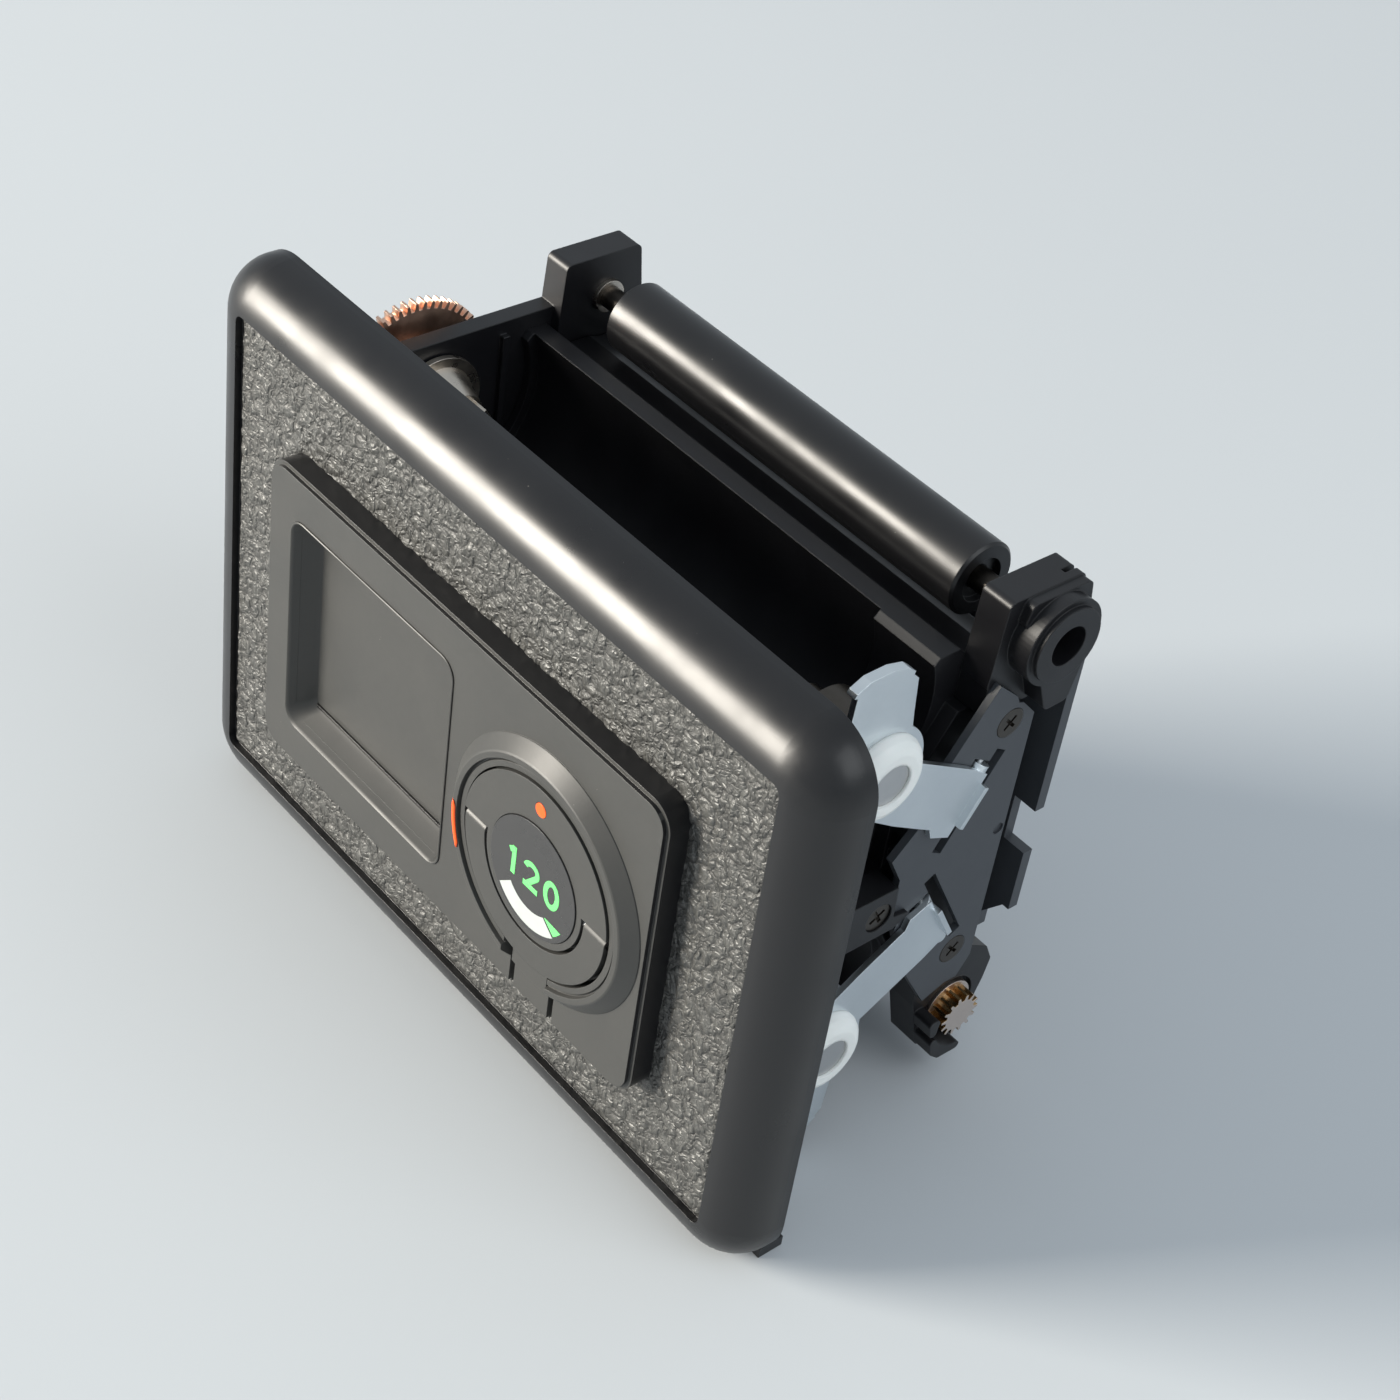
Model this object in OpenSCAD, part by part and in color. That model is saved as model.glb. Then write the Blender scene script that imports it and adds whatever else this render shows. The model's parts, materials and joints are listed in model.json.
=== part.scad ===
// Roll-film insert for a 6x4.5 reflex camera back.
// Units are millimetres. +X is right as seen from behind the camera,
// +Y points from the rear cover towards the lens, +Z is up.
// The origin is the centre of the pressure plate's front face.
// Inside the modules y is measured from the leather face of the cover;
// placed() moves that datum back so that the film plane lies on y = 0.

/* [Rear cover] */
// Width of the rear cover
cover_w = 111.2; // [90:0.1:130]
// Height of the rear cover
cover_h = 79.5; // [60:0.1:100]
// Radius of the rolled edge
roll_r = 6.4; // [3:0.1:8]
// Plan radius of the cover's corners
corner_r = 7.9; // [6.5:0.1:14]
// Depth of the cover's rim in front of the leather face
rim_y = 7.1; // [5:0.1:12]
// Wall thickness of the cover
cover_t = 1.5; // [1:0.1:2.5]
// Height of the cover's centre above the middle of the film frame
cover_up = 0.8; // [-2:0.1:2]
// Width of the leather panel's recess
leather_w = 98.5; // [80:0.1:110]
// Height of the leather panel's recess
leather_h = 66.8; // [50:0.1:80]
// Reach of the hooked lip under the cover's lower rim
lip_reach = 3.1; // [1:0.1:5]

/* [Memo plate] */
// Width of the raised memo plate
memo_w = 74.8; // [60:0.1:90]
// Height of the raised memo plate
memo_h = 43.6; // [30:0.1:55]
// How far the memo plate stands proud of the leather
memo_t = 3; // [1:0.1:5]
// Width of the memo window
window_w = 32.8; // [20:0.1:40]
// Height of the memo window
window_h = 31.4; // [20:0.1:36]
// Distance of the window's centre left of the cover's centre
window_x = -15.9; // [-25:0.1:-8]

/* [Key] */
// Position of the key's centre across the cover
key_x = 19.4; // [10:0.1:25]
// Radius of the key disc
disc_r = 13; // [10:0.1:15]
// Radius of the label on the key
label_r = 7.7; // [5:0.1:9]
// Inner radius of the folding half ring
ring_in = 9.1; // [8:0.05:10]
// Outer radius of the folding half ring
ring_out = 12.75; // [11:0.05:14]
// Radius at which the latch pins sit
latch_pin_r = 4; // [3:0.1:5]

/* [Film path] */
// Distance of the film plane from the leather face
film_y = 54.4; // [45:0.1:70]
// Length of a roller's barrel
roller_len = 62.5; // [61.5:0.1:66]
// Radius of a roller
roller_r = 4.8; // [3:0.05:5]
// Depth of the rollers' axes
roller_y = 46.4; // [40:0.1:52]
// Height of each roller's axis above or below the film frame's middle
roller_z = 29.8; // [24:0.1:35]
// Depth of the spools' axes
spool_y = 21.3; // [18:0.1:26]
// Height of each spool's axis above or below the middle
spool_z = 21.3; // [19:0.1:26]
// Radius of a spool chamber
chamber_r = 14; // [13:0.1:15]
// Half width over the moulded frame
frame_x = 41; // [38:0.1:44]
// Half width of the pressure plate
plate_x = 42; // [36:0.1:43]
// Half height of the pressure plate
plate_z = 22.6; // [20:0.1:25]

/* [Drive] */
// Tip radius of the take-up gear
gear_r = 11.2; // [9:0.1:12]
// Teeth on the take-up gear
gear_teeth = 56; // [30:1:64]
// Tip radius of the counter pinion
pinion_r = 3.1; // [2.4:0.1:3.6]
// Teeth on the counter pinion
pinion_teeth = 14; // [10:1:20]

/* [Levers] */
// Thickness of a spool lever's sheet
lever_t = 0.8; // [0.5:0.1:1.2]
// Radius of the white boss on a lever
boss_r = 5.6; // [5:0.1:6.4]
// Angle between a lever's hinge and the film's depth direction
hinge_a = 60; // [45:1:75]

/* [Hidden] */
$fn = 64;

slip = 0.25;
// Gap between the half ring and the disc inside it
ring_gap = 0.45;
leather_t = 0.55;
recess_y = 0.6;
back_y = -0.4;
seat_y = 6;
plate_y0 = film_y - 1.5;
side_in = frame_x + 0.3;
side_out = side_in + 1;
sheet_in = side_out + 0.15;
sheet_out = sheet_in + lever_t;
hinge_x = side_in + 0.5;
// Radius of the guard round the counter pinion
guard_r = 5.6;
hinge_mid = [37.4, 9.3];
pin_r = 0.4;
bore_fit = 0.05;

black_satin = [0.06, 0.06, 0.065];
black_mould = [0.09, 0.09, 0.095];
black_plate = [0.17, 0.18, 0.19];
black_leather = [0.13, 0.13, 0.13];
steel = [0.7, 0.73, 0.76];
nickel = [0.72, 0.68, 0.6];
copper = [0.66, 0.45, 0.35];
white_nylon = [0.9, 0.92, 0.9];
red_paint = [0.95, 0.2, 0.05];
dark_label = [0.07, 0.07, 0.075];

module placed() translate([0, -film_y, 0]) children();

// A flat outline in x and z, thickened from y0 to y1.
module slab_y(y0, y1) translate([0, y1, 0]) rotate([90, 0, 0])
  linear_extrude(y1 - y0) children();

// A flat outline in y and z, thickened from x0 to x1.
module slab_x(x0, x1) translate([x0, 0, 0]) rotate([90, 0, 90])
  linear_extrude(x1 - x0) children();

module round_rect(w, h, r) {
  square([w - 2 * r, h], center = true);
  square([w, h - 2 * r], center = true);
  for (sx = [-1, 1], sz = [-1, 1])
    translate([sx * (w / 2 - r), sz * (h / 2 - r)]) circle(r);
}

// A round bar along X from x0 to x1 with its axis at depth y and height z.
module bar_x(r, x0, x1, y, z) translate([x0, y, z]) rotate([0, 90, 0])
  cylinder(h = x1 - x0, r = r);

// A round bar along Y from y0 to y1 at x and z.
module bar_y(r, y0, y1, x, z) translate([x, y1, z]) rotate([90, 0, 0])
  cylinder(h = y1 - y0, r = r);

// Section of the cover's edge: rolled at the back, straight to the rim.
module edge_profile(r_out, r_roll, y0, y1) {
  translate([0, y0 + r_roll]) square([r_out, y1 - y0 - r_roll]);
  translate([0, y0]) square([r_out - r_roll, r_roll]);
  intersection() {
    translate([r_out - r_roll, y0 + r_roll]) circle(r_roll);
    translate([r_out - r_roll, y0]) square(r_roll);
  }
}

module dished(w, h, r_out, r_roll, y0, y1) {
  cx = w / 2 - r_out;
  cz = h / 2 - r_out;
  translate([-cx, y0, -cz]) cube([2 * cx, y1 - y0, 2 * cz]);
  for (a = [0, 180]) rotate([0, a, 0]) {
    translate([cx, 0, -cz]) linear_extrude(2 * cz) edge_profile(r_out, r_roll, y0, y1);
    translate([cx, 0, cz]) rotate([0, -90, 0])
      linear_extrude(2 * cx) edge_profile(r_out, r_roll, y0, y1);
  }
  for (sx = [-1, 1], sz = [-1, 1]) translate([sx * cx, 0, sz * cz])
    rotate([-90, 0, 0]) rotate_extrude() edge_profile(r_out, r_roll, y0, y1);
}

module cover_shell() {
  color(black_satin) placed() {
    translate([0, 0, cover_up]) difference() {
      dished(cover_w, cover_h, corner_r, roll_r, back_y, rim_y);
      dished(cover_w - 2 * cover_t, cover_h - 2 * cover_t, corner_r - cover_t,
        roll_r - cover_t, back_y + 2, rim_y + 1);
      slab_y(back_y - 1, recess_y) round_rect(leather_w, leather_h, 1.2);
      bar_y(3 + bore_fit, 0, 3, key_x, -cover_up);
    }
    // The lower rim reaches further forward and ends in a hooked lip.
    translate([-cover_w / 2 + corner_r, rim_y - 0.5, cover_up - cover_h / 2])
      cube([cover_w - 2 * corner_r + 5.6, lip_reach + 0.5, cover_t]);
    // Posts that carry the inner plate.
    for (p = screw_spots) difference() {
      bar_y(2.6, back_y + 1.5, seat_y, p[0], p[1]);
      bar_y(1.22, seat_y - 3.2, seat_y + 1, p[0], p[1]);
    }
  }
}

screw_spots = [[-46, 29], [46, 29], [46, -27.4], [-46, -27.4]];

module leather_panel() {
  color(black_leather) placed() translate([0, 0, cover_up])
    slab_y(recess_y - leather_t, recess_y) difference() {
      round_rect(leather_w - 0.5, leather_h - 0.5, 1);
      round_rect(memo_w + 0.3, memo_h + 0.3, 3.3);
    }
}

module memo_plate() {
  color(black_satin) placed() difference() {
    union() {
      translate([0, 0, cover_up]) {
        slab_y(-memo_t + 0.5, recess_y) round_rect(memo_w, memo_h, 3.2);
        slab_y(-memo_t, recess_y) round_rect(memo_w - 1.1, memo_h - 1.1, 2.7);
      }
      // Bevelled ring round the key.
      translate([key_x, 0, 0]) rotate([-90, 0, 0]) rotate_extrude() bezel_profile();
    }
    translate([window_x, 0, cover_up]) {
      slab_y(-memo_t - 1, recess_y + 1) round_rect(window_w - 1.6, window_h - 1.6, 1.4);
      slab_y(-memo_t - 1, -memo_t + 0.9) round_rect(window_w, window_h, 2.2);
    }
    bar_y(disc_r + slip, -8, 2, key_x, 0);
    // Finger notch, with a tab and its nail catch left standing in it.
    difference() {
      translate([key_x - 4.1, 0, 0]) slab_x(0, 8.2)
        polygon([[-9, -10], [-1, -10], [-1, -18.4], [-1.4, -21.6], [-9, -21.6]]);
      translate([key_x - 3.2, 0, 0]) slab_x(0, 6.4)
        polygon([[-0.4, -13.6], [-3.6, -13.6], [-3.6, -19.2], [-4.6, -20.6],
          [-4.3, -20.8], [-0.4, -20.8]]);
    }
    // Seat of the red index mark.
    mark(0.02);
  }
}

module bezel_profile() polygon([[disc_r - 1, 0.6], [disc_r - 1, -4.35],
  [disc_r + 1, -4.35], [disc_r + 1.1, -4.1], [disc_r + 1.3, -4.1], [disc_r + 1.4, -4.7],
  [disc_r + 2.1, -4.7], [disc_r + 2.3, -4.6], [disc_r + 3.9, -memo_t - 0.1],
  [disc_r + 3.9, 0.6]]);

// The mark follows the ring's left flank just below nine o'clock.
module mark(grow) translate([key_x, 0, 0]) slab_y(-4.1 - grow, -2.9 + grow)
  intersection() {
    difference() {
      circle(disc_r + 3.5 + grow);
      circle(disc_r + 2.4 - grow);
    }
    translate([-20, -6.3 - grow]) square([20, 6.1 + 2 * grow]);
  }

module index_mark() {
  color(red_paint) placed() mark(0);
}

module memo_floor() {
  color(black_satin) placed() translate([window_x, 0, cover_up])
    slab_y(0.2, recess_y) round_rect(window_w - 1.8, window_h - 1.8, 1.3);
}

module key_disc() {
  color(black_satin) placed() difference() {
    bar_y(disc_r, -4.6, -1.2, key_x, 0);
    // Groove of the folding half ring.
    slab_y(-5, -2.8) translate([key_x, 0]) difference() {
      circle(disc_r + 1);
      circle(ring_in - ring_gap);
      translate([-20, 1]) square([40, 40]);
    }
    bar_y(label_r + 0.1, -5, -4.35, key_x, 0);
    bar_y(0.95, -5, -4.1, key_x, 10.3);
    for (x0 = [-9.4, 6.2]) bar_x(0.5, key_x + x0, key_x + x0 + 3.2, -3.8, 0);
  }
}

module key_label() {
  color(dark_label) placed() bar_y(label_r, -4.75, -4.35, key_x, 0);
}

module index_dot() {
  color(red_paint) placed() bar_y(0.9, -4.65, -4.1, key_x, 10.3);
}

module key_shaft() {
  color(steel) placed() {
    bar_y(3, -1.2, 2, key_x, 0);
    bar_y(6, 2, 3.2, key_x, 0);
    for (a = [45, 225])
      bar_y(1, 3.2, 5.4, key_x + latch_pin_r * cos(a), latch_pin_r * sin(a));
  }
}

module ring_pin(s) color(steel) placed()
  bar_x(0.5, key_x + (s > 0 ? 6.2 : -12.6), key_x + (s > 0 ? 12.6 : -6.2), -3.8, 0);

module ring_pin_left() ring_pin(-1);
module ring_pin_right() ring_pin(1);

module half_ring() {
  color(black_satin) placed() translate([key_x, 0, 0]) difference() {
    union() {
      slab_y(-4.6, -3) difference() {
        circle(ring_out);
        circle(ring_in);
        translate([-20, 0]) square([40, 20]);
      }
      for (s = [0, 1]) bar_x(0.8, s ? ring_in : -ring_out, s ? ring_out : -ring_in, -3.8, 0);
    }
    bar_x(0.5 + bore_fit, -20, 20, -3.8, 0);
  }
}

latch_slot = latch_pin_r * sin(45);

module bolt_right() {
  color(steel) placed() difference() {
    union() {
      slab_y(3.5, 4.5) translate([key_x - 1.5, 0.8]) square([32, 5.6]);
      slab_y(3.5, 8.9) translate([48.4, 0.8]) square([1.5, 5.6]);
    }
    slab_y(3, 5) translate([key_x + latch_slot - 1.25, 1.6]) square([2.5, 3.8]);
  }
}

module bolt_left() {
  color(steel) placed() difference() {
    union() {
      slab_y(3.5, 4.5) translate([-49.9, -6.4]) square([key_x + 51.4, 5.6]);
      slab_y(3.5, 8.9) translate([-49.9, -6.4]) square([1.5, 5.6]);
    }
    slab_y(3, 5) translate([key_x - latch_slot - 1.25, -5.4]) square([2.5, 3.8]);
  }
}

module inner_plate() {
  color(black_mould) placed() slab_y(seat_y, seat_y + 1) difference() {
    translate([0, cover_up]) round_rect(cover_w - 2 * cover_t - 1, cover_h - 2 * cover_t - 1, 5.5);
    for (p = screw_spots) translate(p) circle(1.3);
    translate([41.9, 0.3]) square([8.5, 6.6]);
    translate([-50.4, -6.9]) square([8.5, 6.6]);
  }
}

module cover_screw(i) color(steel) placed() translate([screw_spots[i][0], 0, screw_spots[i][1]])
  difference() {
    union() {
      bar_y(1.2, seat_y - 3, seat_y + 1, 0, 0);
      bar_y(2.2, seat_y + 1, seat_y + 1.8, 0, 0);
    }
    phillips(seat_y + 1.2, seat_y + 3);
  }

module phillips(y0, y1) for (a = [0, 90]) rotate([0, a, 0])
  slab_y(y0, y1) square([2.2, 0.5], center = true);

module cover_screw_a() cover_screw(0);
module cover_screw_b() cover_screw(1);
module cover_screw_c() cover_screw(2);
module cover_screw_d() cover_screw(3);

module catch_lug() {
  color(black_mould) placed() {
    slab_x(-45.6, -42.4) {
      translate([seat_y + 1, 31.3]) square([5.4, 2.3]);
      translate([12.4, 32.4]) circle(1.6);
    }
  }
}

// Rounds an outline's outer corners.
module eased(r) offset(r = r) offset(delta = -r) children();

// Side outline of the cheek and upper column round a roller.
module horn_outline() {
  eased(0.9) polygon([[38.6, 20], [39.5, 35.8], [51.2, 35.8], [52.4, 27], [50, 22.6],
    [47.2, 20]]);
}

// Side outline of the lower column.
module foot_outline() {
  eased(0.9) polygon([[38.6, -20], [39.9, -26.7], [42, -34.6], [43.6, -35.6], [47, -35.6],
    [51, -33], [52.4, -28.6], [53, -25.4], [51.6, -22.6], [47.2, -20]]);
}

module left_cheek() {
  color(black_mould) placed() difference() {
    union() {
      slab_x(-frame_x, -frame_x + 2.5) {
        translate([seat_y + 1, -29.4]) square([40.2, 58.8]);
      }
      for (m = [0, 1]) mirror([0, 0, m]) {
        slab_x(-frame_x, -37) horn_outline();
        // Rib that steers the film's edge.
        slab_x(-frame_x + 2, -37.7) translate([31, 12.6]) square([1, 15]);
      }
    }
    for (s = [-1, 1]) {
      bar_x(2.2, -45, -30, roller_y, s * roller_z);
      bar_x(2.5 + bore_fit, -45, -30, spool_y, s * spool_z);
    }
  }
}

module upper_column() {
  color(black_mould) placed() difference() {
    union() {
      slab_x(37, side_in) difference() {
        horn_outline();
        // Land for the side plate's upper arm.
        translate([38, 10]) square([1, 14.2]);
      }
      slab_x(side_in, 45) translate([roller_y, roller_z]) circle(4.9);
      slab_x(side_in, 44.3) eased(1) union() {
        translate([roller_y, roller_z]) circle(5.7);
        polygon([[40.9, 28.2], [44.3, 24.4], [46, 20.2], [49.6, 20.4], [50.6, 24.8], [51.9, 28.2]]);
      }
      // Outer half of the horn beside the boss.
      slab_x(side_in, 42.6) eased(0.9) polygon([[41.2, 33], [41.8, 35.6], [51.1, 35.6],
        [52.3, 29], [50, 27], [43, 30]]);
    }
    bar_x(1.5, 30, 50, roller_y, roller_z);
    bar_x(2.6, 40.4, 50, roller_y, roller_z);
    // Slot from the back into the horn's top.
    translate([39.5, 48.9, 34.3]) cube([0.7, 4, 3]);
  }
}

module lower_column() {
  color(black_mould) placed() difference() {
    union() {
      slab_x(37, side_in) foot_outline();
      // Guard round the counter pinion.
      slab_x(side_in, 44.2) eased(0.6) difference() {
        union() {
          translate([roller_y, -roller_z]) circle(guard_r);
          polygon([[40, -26.7], [41.8, -34], [43.4, -35.4], [46.4, -35.4], [46.4, -26]]);
        }
        translate([roller_y, -roller_z]) circle(guard_r - 1.2);
        polygon([[34, -18], [34, -27.8], [46.4, -27.8], [49.2, -25.8], [49.2, -18]]);
      }
    }
    bar_x(2.2, 30, 50, roller_y, -roller_z);
    bar_x(guard_r - 1.4, 40.4, 50, roller_y, -roller_z);
  }
}

module core_block() {
  color(black_mould) placed() difference() {
    union() {
      slab_x(-frame_x + 2.5, 37) core_section();
      // Side block under the side plate, with a tongue for the bridge bar.
      slab_x(37, 39.1) {
        polygon([[30.4, -6.5], [30.4, 6.4], [33, 12], [37.6, 20], [47.2, 20],
          [47.2, -20], [37.6, -20], [33, -12]]);
        translate([24, -6.5]) square([6.5, 6.2]);
      }
      for (p = plate_screws) bar_x(1.75, 39.1, side_in, p[0], p[1]);
      slab_x(39.1, side_in) translate([31, -2.6]) square([2.4, 5.2]);
    }
    for (p = plate_screws) bar_x(1.02, 36, 46, p[0], p[1]);
    bar_x(1.02, 36, 42, 27.2, -3.4);
    // Room for the ends of the left cheek's horns.
    for (m = [0, 1]) mirror([0, 0, m])
      translate([-40, 38.2, 19.8]) cube([3.2, 15, 10]);
    // Pockets that the leaf springs' ends dip into.
    for (x0 = [-36.3, 29.7], s = [-1, 1])
      translate([x0, 45.6, s * 15.6 - 1.6]) cube([6.6, 3, 3.2]);
    for (s = [-1, 1]) bar_x(chamber_r + 1.3, -37.2, 27, spool_y, s * spool_z);
    for (s = [-1, 1]) bar_x(roller_r + 1, -60, 60, roller_y, s * roller_z);
    // Slides of the pressure plate's studs.
    for (sx = [-1, 1], sz = [-1, 1]) bar_y(1.25, 44, 48, sx * 26, sz * 17);
    // Hollow behind the pressure plate.
    slab_y(43.4, 48) round_rect(40, 30, 3);
  }
}

plate_screws = [[43.2, 18.2], [43.3, -17.7]];

module core_section() difference() {
  polygon([[26.5, -4], [26.5, 4], [28, 20], [35.2, 27.2], [38.2, 27.2], [41, 24.5],
    [47, 24.5], [47, -24.5], [41, -24.5], [38.2, -27.2], [35.2, -27.2], [28, -20]]);
  for (s = [-1, 1]) translate([spool_y, s * spool_z]) circle(chamber_r);
}

module bridge_bar() {
  color(black_mould) placed() {
    difference() {
      slab_x(39.1, 43) polygon([[seat_y + 1, 0.15], [29.6, 0.15], [29.8, -4.6],
        [30.3, -6.6], [seat_y + 1, -6.9]]);
      bar_x(1.02, 39, 44, 27.2, -3.4);
      bar_x(2, 42.2, 44, 27.2, -3.4);
    }
    slab_x(42.35, 43) polygon([[29.6, -4.6], [32.2, -5], [32.5, -5.4], [31, -6.2], [29.6, -6.6]]);
    // Foot on the inner plate.
    slab_y(seat_y + 1, seat_y + 2.2) translate([36, -10.4]) square([8.4, 10.55]);
  }
}

module countersunk(x_face, y, z, r) difference() {
  union() {
    translate([x_face, y, z]) rotate([0, -90, 0])
      cylinder(h = 0.9, r1 = r, r2 = 1);
    bar_x(1, x_face - 5, x_face - 0.8, y, z);
  }
  translate([0, y, z]) for (a = [45, 135]) rotate([a, 0, 0])
    translate([x_face - 0.5, -1.1, -0.22]) cube([2, 2.2, 0.44]);
}

module bridge_screw() {
  color(nickel) placed() difference() {
    union() {
      bar_x(1.95, 42.2, 42.75, 27.2, -3.4);
      bar_x(1, 37.4, 42.2, 27.2, -3.4);
    }
    translate([0, 27.2, -3.4]) for (a = [30, 120]) rotate([a, 0, 0])
      translate([42.4, -1.2, -0.25]) cube([2, 2.4, 0.5]);
  }
}

module side_outline() polygon([[30.3, 0.4], [28.2, 4.2], [31.4, 7.7], [31.2, 10.4],
  [34.4, 16.1], [40, 24.9], [43.4, 22], [43.9, 20.9], [44.7, 20.6], [47.1, 18.1],
  [47.1, -20.6], [45.4, -23.6], [43.4, -23.6], [40, -24.9], [34.4, -16.1],
  [31.4, -8.2], [31.6, -7.1], [30.3, -4.6]]);

// Children are drawn in the hinge's own frame: x along the hinge in the
// side plate's plane, y towards the front of the hinge, z out of the plate.
module at_hinge(m) mirror([0, 0, m]) translate([hinge_x, hinge_mid[0], hinge_mid[1]])
  multmatrix([[0, 0, 1, 0], [cos(hinge_a), sin(hinge_a), 0, 0],
    [sin(hinge_a), -cos(hinge_a), 0, 0], [0, 0, 0, 1]]) children();

module side_plate() {
  color(black_plate) placed() {
    difference() {
      slab_x(side_in, side_out) side_outline();
      // Windows for the levers' knuckles and stop flanges.
      for (m = [0, 1]) at_hinge(m) {
        translate([-4.9, -1.9, -3]) cube([10.4, 3.4, 6]);
        translate([-7.2, 1.2, -3]) cube([14.4, 1.8, 6]);
        translate([-6.4, 0, 0]) rotate([0, 90, 0]) cylinder(h = 13.4, r = pin_r);
      }
      for (p = plate_screws) translate([side_out + 0.01, p[0], p[1]])
        rotate([0, -90, 0]) cylinder(h = 1.2, r1 = 2.1, r2 = 0.9);
      translate([side_out - 0.3, 46.1, 0.7]) rotate([0, 90, 0])
        cylinder(h = 1, r = 0.8);
      bar_x(0.6, 40, 44, 37.9, -14.7);
    }
  }
}

module side_screw_upper() {
  color(nickel) placed() countersunk(side_out, 43.2, 18.2, 2);
}

module side_screw_lower() {
  color(nickel) placed() countersunk(side_out, 43.3, -17.7, 2);
}

module hinge_pin(m) color(steel) placed() at_hinge(m)
  translate([-6.4, 0, 0]) rotate([0, 90, 0]) cylinder(h = 13.4, r = pin_r);

module hinge_pin_upper() hinge_pin(0);
module hinge_pin_lower() hinge_pin(1);

module lever_outline() {
  difference() {
    union() {
      polygon([[15.4, 35], [17, 35.9], [20.2, 35.9], [22.6, 35.2], [24.3, 33.6], [24.8, 28.8],
        [25.7, 22.3], [27.7, 20.1], [36.9, 14.9], [40.1, 12.7], [35.8, 5.1], [32.7, 6.5],
        [32.2, 8], [30.1, 9.2], [25.5, 11.9], [21, 14.9], [15.2, 19], [15, 28]]);
      translate([spool_y, spool_z]) circle(6.5);
    }
    translate([spool_y, spool_z]) circle(4);
  }
}

module lever(m) color(steel) placed() {
  mirror([0, 0, m]) {
    slab_x(sheet_in, sheet_out) lever_outline();
    // Lip turned inwards along the finger tab's curved end.
    slab_x(sheet_in - 0.5, sheet_out) polygon([[14.9, 34.7], [15.2, 35.2], [17, 36.1],
      [20.2, 36.2], [22.6, 35.6], [23.6, 34.8], [23.4, 34.2], [22.2, 34.9], [20.1, 35.5],
      [17.2, 35.4], [15.5, 34.5]]);
  }
  at_hinge(m) difference() {
    union() {
      // Rolled knuckles under the sheet.
      for (e = [-4.5, 2.5]) translate([e, 0, 0]) {
        rotate([0, 90, 0]) cylinder(h = 2.6, r = 1.3);
        translate([0, -1, 0.2]) cube([2.6, 2, sheet_in - hinge_x]);
      }
      // Stop flange in front of the hinge.
      translate([-2.7, 0.4, sheet_in - hinge_x]) cube([5.7, 0.7, lever_t + 0.9]);
    }
    translate([-9, 0, 0]) rotate([0, 90, 0]) cylinder(h = 18, r = pin_r + bore_fit);
  }
}

module lever_upper() lever(0);
module lever_lower() lever(1);

module boss(s) color(white_nylon) placed() difference() {
  union() {
    translate([sheet_out, spool_y, s * spool_z]) rotate([0, 90, 0]) rotate_extrude()
      polygon([[0, 0], [boss_r, 0], [boss_r, 0.5], [boss_r - 0.3, 1.2], [boss_r - 0.9, 1.8],
        [boss_r - 1.6, 2.1], [0, 2.1]]);
    bar_x(4, sheet_in - 0.1, sheet_out + 0.1, spool_y, s * spool_z);
    bar_x(5.4, 33.6, sheet_in, spool_y, s * spool_z);
    bar_x(3.3, 30.2, 33.7, spool_y, s * spool_z);
    translate([29.4, spool_y, s * spool_z]) rotate([0, 90, 0])
      cylinder(h = 0.8, r1 = 2.5, r2 = 3.3);
  }
  bar_x(2.75, sheet_out + 0.8, 50, spool_y, s * spool_z);
  bar_x(1.2, 38, 50, spool_y, s * spool_z);
}

module boss_upper() boss(1);
module boss_lower() boss(-1);

module rivet(s) color(steel) placed() {
  bar_x(2.7, sheet_out + 0.8, sheet_out + 1.8, spool_y, s * spool_z);
  bar_x(1.2, 38, sheet_out + 0.8, spool_y, s * spool_z);
}

module rivet_upper() rivet(1);
module rivet_lower() rivet(-1);

module roller(s) color(black_satin) placed() translate([0, roller_y, s * roller_z])
  rotate([0, 90, 0]) rotate_extrude()
  polygon([[1.5 + (s > 0 ? bore_fit : 0), -roller_len / 2 + 0.8], [2.7, -roller_len / 2 + 0.8],
    [2.9, -roller_len / 2], [roller_r - 0.35, -roller_len / 2], [roller_r, -roller_len / 2 + 0.35],
    [roller_r, roller_len / 2 - 0.35], [roller_r - 0.35, roller_len / 2],
    [2.9, roller_len / 2], [2.7, roller_len / 2 - 0.8],
    [1.5 + (s > 0 ? bore_fit : 0), roller_len / 2 - 0.8]]);

module roller_upper() roller(1);
module roller_lower() roller(-1);

module shaft_upper() {
  color(steel) placed() bar_x(1.5, -40.4, 40, roller_y, roller_z);
}

module shaft_lower() {
  color(steel) placed() bar_x(1.5, -40.4, 42.8, roller_y, -roller_z);
}

module bush(x0, x1, s, fit) color(nickel) placed() difference() {
  bar_x(2.2, x0, x1, roller_y, s * roller_z);
  bar_x(1.5 + fit, x0 - 1, x1 + 1, roller_y, s * roller_z);
}

module bush_upper_left() bush(-40.6, -36.4, 1, 0);
module bush_lower_left() bush(-40.6, -36.4, -1, bore_fit);
module bush_lower_right() bush(36.4, 40.4, -1, bore_fit);

// A gear outline with straight-flanked teeth.
module gear_outline(teeth, r_tip, depth) {
  pitch = 360 / teeth;
  circle(r_tip - depth);
  base = r_tip - depth - 0.4;
  half_base = (r_tip - depth) * sin(pitch * 0.34);
  half_tip = r_tip * sin(pitch * 0.13);
  for (i = [0:teeth - 1]) rotate(i * pitch) polygon([[base, -half_base],
    [r_tip, -half_tip], [r_tip, half_tip], [base, half_base]]);
}

module counter_pinion() {
  color(nickel) placed() difference() {
    union() {
      bar_x(pinion_r + 0.5, 40.7, 41.5, roller_y, -roller_z);
      slab_x(41.5, 43.7) translate([roller_y, -roller_z])
        gear_outline(pinion_teeth, pinion_r, 0.75);
    }
    bar_x(1.5, 40, 42.8, roller_y, -roller_z);
  }
}

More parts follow.
